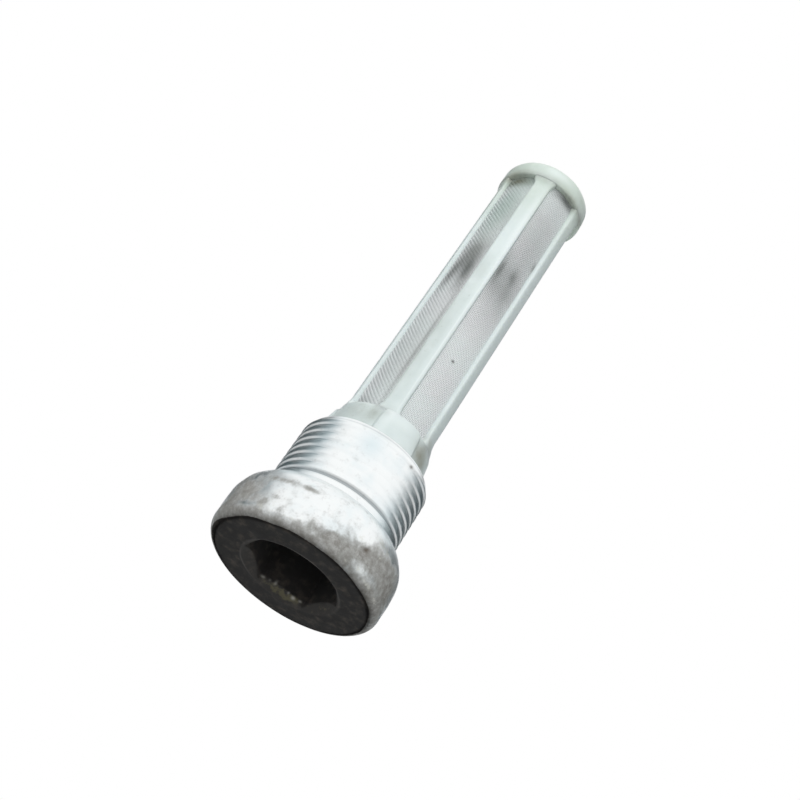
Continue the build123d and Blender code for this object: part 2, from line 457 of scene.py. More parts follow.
@dataclass(frozen=True)
class WornZinc:
    """Zinc plating on steel, worn and stained on the head, dark with soot and painted shade on the face and in the
    socket.
    """

    fresh: Colour = (0.95, 0.975, 0.975)
    cool: Colour = (0.70, 0.82, 0.86)
    chalk: Colour = (0.70, 0.71, 0.65)
    # Grey of the smooth film on the head; at the flanks' edges and on the seat it paints shade and reflection, and on
    # the face it colours worn spots.
    dull: Colour = (0.25, 0.25, 0.245)
    stain: Colour = (0.235, 0.23, 0.205)
    rust: Colour = (0.14, 0.12, 0.10)
    # Near-black colour of the soot, which also paints the shade on the face and in the deep socket.
    soot_and_shade: Colour = (0.022, 0.019, 0.018)
    soot_worn: Colour = (0.085, 0.07, 0.055)
    # Grey-blue for painted shade in the thread's grooves and at the head's neck; it also colours dark scratches on the
    # barrel.
    root: Colour = (0.20, 0.235, 0.26)
    ochre: Colour = (0.095, 0.085, 0.045)
    # Bright bare metal of the socket's burrs, also used for the painted highlight on the socket's rim.
    burr_and_highlight: Colour = (0.55, 0.54, 0.50)
    metallic: float = 0.95
    roughness: float = 0.31

    def make(self, effects: SharedEffects) -> bpy.types.Material:
        """Build the material.

        Args:
            effects: the shared node groups.

        Returns:
            The material.
        """
        material, board, shader = new_material("worn_zinc")
        point = board.place()
        patina, soot_and_shade, root = board.value("patina"), board.value("soot_and_shade"), board.value("root")
        scuff, speck = board.value("scuff"), board.value("speck")
        cloud = board.math("MULTIPLY", board.rise(board.noise(point, 210.0, 3.0), 0.4, 0.75), 0.4)
        # Bluish tint, with a painted reflection of the barrel on the seat.
        cloud = board.math("MAXIMUM", cloud, board.math("MULTIPLY", board.value("blue_tint_and_reflection"), 0.85))
        colour = board.blend(cloud, self.fresh, self.cool)
        uneven = board.rise(board.noise(point, 650.0, 4.0, 0.6), 0.2, 0.6)
        # Smooth grey film, with painted shade at the head's flanks and a painted reflection of the barrel on the seat.
        haze_and_shade = board.math("MULTIPLY", board.value("shade"), uneven)
        colour = board.blend(haze_and_shade, colour, self.dull)
        stained = effects.stains(board, point, 380.0, patina, 0.42)
        colour = board.blend(board.math("MULTIPLY", stained, 0.78), colour, self.stain)
        rusted = effects.stains(board, point, 800.0, board.math("MULTIPLY", patina, 0.75), 0.5)
        colour = board.blend(board.math("MULTIPLY", rusted, 0.45), colour, self.rust)
        flecked = effects.stains(board, point, 1100.0, board.math("MULTIPLY", patina, 0.4), 0.5)
        colour = board.blend(board.math("MULTIPLY", flecked, 0.35), colour, self.fresh)
        # Painted shade in the thread's grooves and at the neck, plus dark scratches.
        colour = board.blend(board.rise(root, 0.2, 1.0, 0.6), colour, self.root)
        chalky = effects.stains(board, point, 640.0, scuff, 0.3)
        colour = board.blend(board.math("MULTIPLY", chalky, 0.85), colour, self.chalk)
        # Soot on the face plus painted shade on the face and in the socket.
        sooty_and_shaded = board.rise(board.math("ADD", soot_and_shade, board.math("MULTIPLY", board.noise(point, 1500.0), 0.5)), 0.45, 0.95)
        black = board.blend(board.rise(board.noise(point, 520.0, 5.0, 0.65), 0.45, 0.8), self.soot_and_shade, self.soot_worn)
        colour = board.blend(sooty_and_shaded, colour, black)
        worn_spot = board.math("MULTIPLY", soot_and_shade, effects.stains(board, point, 1900.0, scuff, 0.06))
        colour = board.blend(worn_spot, colour, self.dull)
        colour = board.blend(speck, colour, self.rust)
        muddy = effects.stains(board, point, 900.0, board.value("ochre"), 0.2)
        colour = board.blend(muddy, colour, self.ochre)
        # Burrs in the socket plus the painted rim highlight.
        burr_and_highlight = board.value("burr_and_highlight")
        colour = board.blend(burr_and_highlight, colour, self.burr_and_highlight)
        # Stains, soot and painted shade, which make the zinc rougher and less metallic.
        dirt_and_shade = board.math("MAXIMUM", board.math("MAXIMUM", stained, sooty_and_shaded), board.math("MAXIMUM", speck, haze_and_shade))
        streaks = board.noise(board.stretch(point, (0.25, 0.25, 9.0)), 900.0, 2.0)
        rough = board.between(dirt_and_shade, board.between(streaks, self.roughness - 0.06, self.roughness + 0.1), 0.66)
        rough = board.between(sooty_and_shaded, rough, 0.82)
        board.tree.links.new(colour, shader.inputs["Base Color"])
        board.tree.links.new(rough, shader.inputs["Roughness"])
        board.tree.links.new(board.between(dirt_and_shade, self.metallic, 0.0), shader.inputs["Metallic"])
        board.tree.links.new(effects.bump(board, point, 700.0, 0.35, 0.05), shader.inputs["Normal"])
        return material


@dataclass(frozen=True)
class MilkyNylon:
    """Pale green-white nylon that lets a little light through, with brown and grey oil stains, grey and brown painted
    shade, and painted highlights.
    """

    body: Colour = (0.685, 0.77, 0.76)
    # Paler nylon for random tone and for the painted highlights.
    bright_and_highlight: Colour = (0.86, 0.93, 0.925)
    tip: Colour = (0.58, 0.67, 0.60)
    shade: Colour = (0.33, 0.37, 0.325)
    tan: Colour = (0.27, 0.25, 0.19)
    roughness: float = 0.36

    def make(self, effects: SharedEffects) -> bpy.types.Material:
        """Build the material.

        Args:
            effects: the shared node groups.

        Returns:
            The material.
        """
        material, board, shader = new_material("milky_nylon")
        point = board.place()
        grime_and_shade, tan = board.value("grime_and_shade"), board.value("tan")
        cloud = board.rise(board.noise(point, 260.0, 3.0), 0.3, 0.7)
        cloud = board.math("MULTIPLY", cloud, 0.35)
        colour = board.blend(board.value("aged"), self.body, self.tip)
        # Random paler clouds and the painted highlights.
        colour = board.blend(board.math("MAXIMUM", cloud, board.value("painted_highlight")), colour, self.bright_and_highlight)
        # Grey film and painted shade, broken up by noise.
        film_and_shade = board.math("MULTIPLY", grime_and_shade, board.rise(board.noise(point, 330.0, 5.0, 0.6), 0.1, 0.62))
        colour = board.blend(film_and_shade, colour, self.shade)
        brown = board.math("MULTIPLY", tan, board.rise(board.noise(point, 420.0, 5.0, 0.6), 0.15, 0.6))
        colour = board.blend(brown, colour, self.tan)
        spotted = effects.stains(board, point, 900.0, board.math("ADD", board.math("MULTIPLY", grime_and_shade, 0.4), 0.12), 0.2)
        colour = board.blend(board.math("MULTIPLY", spotted, 0.3), colour, self.shade)
        board.tree.links.new(colour, shader.inputs["Base Color"])
        board.tree.links.new(board.between(film_and_shade, self.roughness, 0.55), shader.inputs["Roughness"])
        board.tree.links.new(effects.bump(board, point, 500.0, 0.3, 0.03), shader.inputs["Normal"])
        shader.inputs["Subsurface Weight"].default_value = 0.35
        shader.inputs["Subsurface Scale"].default_value = 0.0012
        shader.inputs["Subsurface Radius"].default_value = (1.0, 1.0, 0.9)
        shader.inputs["IOR"].default_value = 1.53
        return material


@dataclass(frozen=True)
class SteelWire:
    """Fine steel wire, grey, with oily smears and painted shadow, and a faint pink and green cast."""

    wire: Colour = (0.86, 0.905, 0.905)
    pink: Colour = (0.85, 0.865, 0.875)
    green: Colour = (0.47, 0.58, 0.535)
    # Painted shade on the wires where they dip under their crossing wires.
    painted_valley_shade: Colour = (0.50, 0.53, 0.53)
    # Dark grey for oily marks and for painted shadow.
    smudge_and_shade: Colour = (0.19, 0.205, 0.20)
    olive: Colour = (0.19, 0.20, 0.15)
    speck: Colour = (0.03, 0.03, 0.03)
    metallic: float = 0.35
    roughness: float = 0.4

    def make(self, effects: SharedEffects) -> bpy.types.Material:
        """Build the material.

        Args:
            effects: the shared node groups.

        Returns:
            The material.
        """
        material, board, shader = new_material("woven_steel_wire")
        point = board.place()
        smudge_and_shade, speck, cast = board.value("smudge_and_shade"), board.value("speck"), board.value("cast")
        colour = board.blend(board.rise(board.noise(point, 90.0, 2.0), 0.4, 0.62), self.wire, self.pink)
        colour = board.blend(board.math("MULTIPLY", cast, 0.8), colour, self.green)
        # Painted weave shade where wires dip under.
        colour = board.blend(board.value("painted_valley_shade"), colour, self.painted_valley_shade)
        # Oily film, with painted shadow beside the centre rib and under the tip ring.
        film_and_shade = board.math("MULTIPLY", smudge_and_shade, board.rise(board.noise(point, 330.0, 4.0), -0.3, 0.55))
        colour = board.blend(film_and_shade, colour, board.blend(cast, self.smudge_and_shade, self.olive))
        colour = board.blend(speck, colour, self.speck)
        board.tree.links.new(colour, shader.inputs["Base Color"])
        board.tree.links.new(board.between(film_and_shade, self.roughness, 0.6), shader.inputs["Roughness"])
        board.tree.links.new(board.between(film_and_shade, self.metallic, 0.2), shader.inputs["Metallic"])
        board.tree.links.new(effects.bump(board, point, 2600.0, 0.4, 0.01), shader.inputs["Normal"])
        return material


@dataclass(frozen=True)
class Mark:
    """One soft mark on a round surface, at a front angle and a height, with its own spread."""

    angle: float
    height: float
    angle_spread: float
    height_spread: float
    strength: float = 1.0

    def on(self, front_angle: np.ndarray, height: np.ndarray) -> np.ndarray:
        """Strength of the mark: a bell over the angle times a bell over the height.

        Args:
            front_angle: front angles in degrees.
            height: heights in millimetres.

        Returns:
            The strength at each point.
        """
        across = bell(angle_gap(front_angle, self.angle), self.angle_spread)
        return self.strength * across * bell(height - self.height, self.height_spread)


def all_marks(marks: tuple[Mark, ...], front_angle: np.ndarray, height: np.ndarray) -> np.ndarray:
    """Sum of several marks, held between 0 and 1.

    Args:
        marks: the marks.
        front_angle: front angles in degrees.
        height: heights in millimetres.

    Returns:
        The strength at each point.
    """
    return np.clip(sum(mark.on(front_angle, height) for mark in marks), 0.0, 1.0)


# The screw plug


@dataclass
class ScrewPlug:
    """Round domed head with a hexagon socket, and a hollow barrel with a fine outer thread."""

    head_radius: float = 14.4
    head_height: float = 10.5
    face_round: float = 1.9
    back_round: float = 5.4
    seat_width: float = 0.8
    thread_radius: float = 11.0
    thread_length: float = 11.5
    pitch: float = 1.5
    groove_depth: float = 0.3
    groove_width: float = 0.3
    first_groove: float = 12.25
    worn_front: Mark = Mark(2.0, 18.5, 42.0, 6.0, 0.86)
    lead_length: float = 1.3
    lead_depth: float = 0.7
    bore_radius: float = 9.0
    bore_chamfer: float = 0.2
    bore_floor: float = 12.5
    key_size: float = 14.0
    socket_depth: float = 9.0
    chamfer_radius: float = 8.4
    columns: int = 288
    soot_edge: float = 13.15

    stains: tuple[Mark, ...] = (
        Mark(-66.0, 4.0, 13.0, 4.0, 0.6),
        Mark(-50.0, 3.8, 11.0, 3.2, 0.42),
        Mark(-35.0, 6.9, 12.0, 0.5, 0.5),
        Mark(-17.0, 6.9, 6.0, 0.45, 0.62),
        Mark(-33.0, 3.6, 3.2, 0.5, 0.62),
        Mark(-27.0, 1.9, 2.6, 0.5, 0.5),
        Mark(-39.0, 2.2, 4.0, 0.6, 0.42),
        Mark(-21.0, 2.5, 5.0, 0.6, 0.2),
        Mark(-5.0, 2.2, 4.5, 0.7, 0.36),
        Mark(4.0, 1.9, 10.0, 1.0, 0.62),
        Mark(14.0, 2.2, 9.0, 1.2, 0.6),
        Mark(24.0, 3.0, 8.0, 1.4, 0.55),
        Mark(35.0, 3.6, 10.0, 1.9, 0.6),
        Mark(47.0, 4.4, 10.0, 2.2, 0.62),
        Mark(60.0, 3.8, 14.0, 3.4, 0.75),
        Mark(130.0, 4.0, 40.0, 3.5, 0.45),
        Mark(-135.0, 4.5, 35.0, 3.0, 0.42),
        Mark(175.0, 2.5, 24.0, 1.2, 0.4),
    )
    # Smooth grey film on the head. The marks at -70 and 64 degrees paint shade along the flanks' edges, and those at
    # -46 and 45 degrees on the seat paint the dark barrel's reflection.
    shades: tuple[Mark, ...] = (
        Mark(-70.0, 3.6, 11.0, 4.2, 0.65),
        Mark(8.0, 1.7, 14.0, 0.9, 0.3),
        Mark(26.0, 2.8, 11.0, 1.3, 0.25),
        Mark(64.0, 3.2, 12.0, 3.2, 0.85),
        
        Mark(0.0, 0.25, 70.0, 0.4, 0.7),
        Mark(-38.0, 7.0, 12.0, 0.6, 0.25),
        Mark(-46.0, 9.7, 12.0, 0.9, 0.4),
        Mark(45.0, 9.5, 12.0, 1.2, 0.5),
        Mark(120.0, 3.4, 20.0, 3.4, 0.5),
        Mark(-140.0, 3.4, 24.0, 3.4, 0.5),
    )
    clean: tuple[Mark, ...] = (
        Mark(22.0, 5.2, 5.0, 0.6, 0.25),
        Mark(-52.0, 1.5, 4.0, 0.5, 0.2),
        Mark(31.0, 1.2, 3.5, 0.4, 0.3),
    )
    # Bluish tint on the zinc; the two marks on the seat, at heights 9.6 and 9.4, paint the barrel's bluish reflection.
    blue_tint_and_reflection: tuple[Mark, ...] = (
        Mark(-5.0, 20.0, 11.0, 2.4, 0.75),
        Mark(-44.0, 18.0, 9.0, 8.0, 0.8),
        Mark(38.0, 13.0, 10.0, 4.0, 0.6),
        Mark(-44.0, 9.6, 14.0, 1.2, 0.9),
        Mark(42.0, 9.4, 14.0, 1.4, 0.9),
        Mark(150.0, 17.0, 50.0, 5.0, 0.6),
    )
    scratches: tuple[Mark, ...] = (
        Mark(-5.5, 17.6, 0.9, 0.35, 0.3),
        Mark(-4.2, 17.1, 0.9, 0.25, 0.3),
        Mark(15.0, 19.7, 3.2, 0.11, 0.3),
        Mark(13.0, 20.6, 3.6, 0.11, 0.3),
        Mark(24.0, 18.9, 2.2, 0.12, 0.22),
        Mark(-28.0, 20.7, 3.4, 0.12, 0.25),
        Mark(-20.0, 18.8, 3.0, 0.1, 0.2),
    )
    pits: tuple[Mark, ...] = (
        Mark(28.6, 4.35, 1.7, 0.42, 0.9),
        Mark(26.8, 4.0, 1.0, 0.3, 0.5),
        Mark(32.1, 21.7, 1.6, 0.22, 0.6),
        Mark(150.0, 5.0, 2.2, 0.45, 0.9),
    )
    scuffs: tuple[Mark, ...] = (
        Mark(-54.0, 1.6, 4.0, 0.6, 0.5),
        Mark(-61.0, 0.9, 4.5, 0.35, 0.42),
        Mark(-47.0, 1.3, 3.0, 0.5, 0.4),
        Mark(-40.0, 1.6, 3.5, 0.5, 0.42),
        Mark(-31.0, 1.2, 4.0, 0.6, 0.45),
        Mark(-18.0, 1.4, 5.0, 0.5, 0.4),
        Mark(30.5, 1.3, 3.2, 0.45, 0.5),
        Mark(38.0, 0.9, 4.0, 0.4, 0.42),
        Mark(45.0, 1.0, 5.0, 0.4, 0.42),
        Mark(42.0, 7.0, 12.0, 0.6, 0.6),
        Mark(57.0, 0.8, 7.0, 0.35, 0.45),
        Mark(21.0, 0.9, 3.0, 0.35, 0.45),
        Mark(8.0, 0.6, 4.0, 0.25, 0.4),
        Mark(22.0, 5.2, 5.0, 0.7, 0.42),
        Mark(40.0, 5.4, 7.0, 0.7, 0.35),
        Mark(-30.0, 3.0, 8.0, 0.7, 0.35),
        Mark(120.0, 1.0, 18.0, 0.7, 0.5),
        Mark(-150.0, 1.2, 18.0, 0.7, 0.5),
    )
    burrs: tuple[Mark, ...] = (
        Mark(-154.0, 1.0, 2.4, 0.22, 0.7),
        Mark(-169.6, 1.35, 1.8, 0.3, 0.5),
        Mark(-162.0, 1.2, 1.5, 0.2, 0.3),
        Mark(163.5, 0.95, 2.6, 0.22, 0.75),
        Mark(155.0, 1.0, 1.8, 0.2, 0.8),
        Mark(171.0, 1.2, 1.4, 0.16, 0.4),
    )
    ochre: tuple[Mark, ...] = (
        Mark(178.0, 0.7, 15.0, 0.6, 0.6),
        Mark(160.0, 0.9, 12.0, 0.5, 0.5),
        Mark(-156.0, 0.8, 14.0, 0.5, 0.4),
        Mark(125.0, 0.8, 22.0, 0.8, 0.35),
    )

    def hexagon(self, angle: np.ndarray) -> np.ndarray:
        """Distance of the hexagon's side: half the key size over the cosine of the angle from the side's middle.

        Args:
            angle: angle round the axis in radians.

        Returns:
            Distances in millimetres.
        """
        sector = math.pi / 3.0
        from_middle = (angle % sector) - sector / 2.0
        return self.key_size / 2.0 / np.cos(from_middle)

    def socket_rows(self, angle: np.ndarray) -> tuple[np.ndarray, np.ndarray]:
        """Rows of the socket from its floor's middle to its mouth.

        The wall's distance is the larger of the hexagon's and the chamfer cone's, which shrinks by a millimetre
        per millimetre of depth.

        Args:
            angle: angle round the axis in radians, one per column.

        Returns:
            Radii and heights, rows by columns.
        """
        side = self.hexagon(angle)[None, :]
        floor_share = run(0.06, 0.985, 8)[:, None]
        floor_height = self.socket_depth + 0.5 * (1.0 - smoothstep(0.0, 0.9, floor_share))
        wall_depth = np.concatenate([run(self.socket_depth, 1.6, 16), run(1.6, 0.0, 16)])[:, None]
        radius = np.maximum(side, self.chamfer_radius - wall_depth)
        radii = np.concatenate([floor_share * side, radius])
        heights = np.concatenate([np.broadcast_to(floor_height, (8, len(angle))), np.broadcast_to(wall_depth, radius.shape)])
        return radii, heights

    def outer_profile(self) -> tuple[np.ndarray, np.ndarray]:
        """Profile from the socket's mouth over the face, the dome, the seat and the barrel to the bore's floor.

        Straight runs and two arcs: the face's edge turns through a quarter circle and the back through the arc
        that ends at the seat.

        Returns:
            Radii and heights in millimetres.
        """
        edge_radius = self.head_radius - self.face_round
        seat_radius = self.thread_radius + self.seat_width
        back_middle = self.head_radius - self.back_round
        back_rise = math.sqrt(self.back_round**2 - (seat_radius - back_middle) ** 2)
        back_low = self.head_height - back_rise
        back_turn = math.atan2(back_rise, seat_radius - back_middle)
        turn_up = run(-math.pi / 2.0, 0.0, 14)
        turn_in = run(0.0, back_turn, 26)
        thread_end = self.head_height + self.thread_length
        mouth = thread_end + self.lead_length
        lip = self.thread_radius - self.lead_depth
        rows = [
            (run(self.chamfer_radius, edge_radius, 16), np.zeros(16)),
            (edge_radius + self.face_round * np.cos(turn_up), self.face_round * (1.0 + np.sin(turn_up))),
            (np.full(12, self.head_radius), run(self.face_round, back_low, 12)),
            (back_middle + self.back_round * np.cos(turn_in), back_low + self.back_round * np.sin(turn_in)),
            (run(seat_radius, self.thread_radius + 0.12, 4), np.full(4, self.head_height)),
            (np.full(126, self.thread_radius), run(self.head_height + 0.04, thread_end, 126)),
            (run(self.thread_radius, lip, 16), run(thread_end, mouth, 16)),
            (run(lip, self.bore_radius + self.bore_chamfer, 6), np.full(6, mouth)),
            (run(self.bore_radius + self.bore_chamfer, self.bore_radius, 3), run(mouth, mouth - self.bore_chamfer, 3)),
            (np.full(10, self.bore_radius), run(mouth - self.bore_chamfer, self.bore_floor, 10)),
            (run(self.bore_radius, 0.4, 8), np.full(8, self.bore_floor)),
        ]
        return np.concatenate([row[0] for row in rows]), np.concatenate([row[1] for row in rows])

    def groove(self, front_angle: np.ndarray, height: np.ndarray) -> np.ndarray:
        """Share of the groove's full depth, for a right-hand thread.

        The groove's middle rises by one pitch per turn. The share is exp(-(distance from the middle / width)^2.4),
        faded out at the head's side.

        Args:
            front_angle: front angles in degrees.
            height: heights in millimetres.

        Returns:
            Shares of 0 to 1.
        """
        turns = (height - self.first_groove) / self.pitch - angle_gap(front_angle, 0.0) / 360.0
        distance = np.abs((turns + 0.5) % 1.0 - 0.5) * self.pitch
        runout = smoothstep(self.head_height + 0.7, self.head_height + 1.5, height)
        across = np.exp(-np.abs(angle_gap(front_angle, self.worn_front.angle) / self.worn_front.angle_spread) ** 4.0)
        worn = self.worn_front.strength * across * smoothstep(12.9, 13.8, height) * smoothstep(22.2, 21.2, height)
        return np.exp(-((distance / self.groove_width) ** 2.4)) * runout * (1.0 - worn)

    def surface(self) -> Surface:
        """The whole plug as one closed surface turned round the axis, with its thread, dents, and values for stains and
        for painted shade and highlights.

        Returns:
            The surface.
        """
        angle = np.linspace(0.0, 2.0 * math.pi, self.columns, endpoint=False)
        socket_r, socket_z = self.socket_rows(angle)
        outer_r, outer_z = self.outer_profile()
        wide = (len(outer_r), self.columns)
        radius = np.concatenate([socket_r, np.broadcast_to(outer_r[:, None], wide)])
        height = np.concatenate([socket_z, np.broadcast_to(outer_z[:, None], wide)])
        turn = np.broadcast_to(angle[None, :], radius.shape)
        front = angle_gap(np.degrees(turn), FRONT)
        first_outer = len(socket_r)
        row = np.arange(len(radius))[:, None]
        outside = (row >= first_outer) & (radius > self.bore_radius + 0.5)
        on_barrel = outside & (height > self.head_height + 0.02)
        cut = self.groove(front, height)
        barrel = np.minimum(self.thread_radius - self.groove_depth * cut, radius)
        radius = np.where(on_barrel, barrel, radius)
        on_head = outside & (height < self.head_height - 0.4)
        flank = smoothstep(0.3, 2.0, height) * on_head
        dents = 0.035 * ripple(turn, height * 1.5, 11, 26) - 0.18 * all_marks(self.pits, front, height)
        radius = radius + np.minimum(dents - 0.06, 0.0) * flank
        on_face = (row >= first_outer) & (height < 0.3)
        height = height + on_face * 0.03 * (1.0 + ripple(turn, radius, 12, 18)) * smoothstep(0.3, 0.0, height)
        values = self.stain_and_painted_light_values(radius, height, front, row < first_outer, outside, on_barrel, cut)
        return Surface.grid(radius * np.cos(turn), radius * np.sin(turn), height, Shape.POLES, values)

    def stain_and_painted_light_values(
        self,
        radius: np.ndarray,
        height: np.ndarray,
        front: np.ndarray,
        in_socket: np.ndarray,
        outside: np.ndarray,
        on_barrel: np.ndarray,
        cut: np.ndarray,
    ) -> dict[str, np.ndarray]:
        """Where the plug is stained, sooty, scuffed and pitted, and where shade, a reflection and a highlight are
        painted.

        Args:
            radius: distances from the axis in millimetres.
            height: heights.
            front: front angles in degrees.
            in_socket: rows of the socket.
            outside: points of the head's and barrel's outside.
            on_barrel: points of the barrel's outside.
            cut: share of the thread groove's depth.

        Returns:
            Values by name.
        """
        on_face = (height < 1.2) & ~in_socket & (radius < self.head_radius)
        creep = 0.5 * bell(angle_gap(front, -95.0), 18.0)
        edge = self.soot_edge + creep + 0.09 * ripple(np.radians(front), 0.0 * front, 17, 26)
        soot_and_shade = smoothstep(edge + 0.2, edge - 0.2, radius) * on_face
        # The whole socket gets the soot colour: painted shade in the recess.
        soot_and_shade = np.maximum(soot_and_shade, np.broadcast_to(in_socket, radius.shape).astype(float))
        on_head = outside & ~on_barrel
        bottom = 0.55 * smoothstep(2.0, 0.5, height)
        stain = 0.13 + bottom + all_marks(self.stains, front, height) - all_marks(self.clean, front, height)
        patina = np.clip(stain, 0.0, 1.0) * on_head * smoothstep(10.4, 9.4, height)
        # Painted shade in the thread's grooves, deeper near the head, and a thin painted shadow where the barrel meets
        # the head.
        groove_shade_line = cut * (0.55 + 0.45 * smoothstep(13.2, 12.5, height))
        groove_shade_line = np.maximum(groove_shade_line, 0.9 * bell(height - self.head_height - 0.12, 0.09))
        # Painted highlight: a bright thin rim on the socket's chamfer edge, strongest at the front, and a faint lighter
        # band on the socket's upper wall.
        around = 0.04 + 0.14 * bell(angle_gap(front, 0.0), 19.0) + 0.08 * bell(angle_gap(front, -122.0), 26.0)
        ring = bell(radius - self.chamfer_radius, 0.14) * (height < 0.1) * around
        ring = np.maximum(ring, 0.045 * in_socket * smoothstep(1.5, 1.0, height))
        return {
            "soot_and_shade": soot_and_shade,
            "patina": patina,
            "shade": all_marks(self.shades, front, height) * on_head,
            "blue_tint_and_reflection": all_marks(self.blue_tint_and_reflection, front, height) * outside,
            "root": np.maximum(groove_shade_line, all_marks(self.scratches, front, height)) * on_barrel,
            "scuff": all_marks(self.scuffs, front, height) * outside,
            "burr_and_highlight": np.maximum(ring, all_marks(self.burrs, front, height) * in_socket),
            "ochre": all_marks(self.ochre, front, height) * in_socket,
            "speck": np.clip(all_marks(self.pits, front, height) * outside * 1.4, 0.0, 1.0),
        }

    def build(self, finish: bpy.types.Material) -> bpy.types.Object:
        """Make the plug and let it stand for the CAD node.

        Args:
            finish: its material.

        Returns:
            The piece.
        """
        piece = self.surface().to_piece("screw_plug_threaded", finish, Slot.PLUG)
        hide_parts("screw_plug")
        return piece


# The strainer's frame


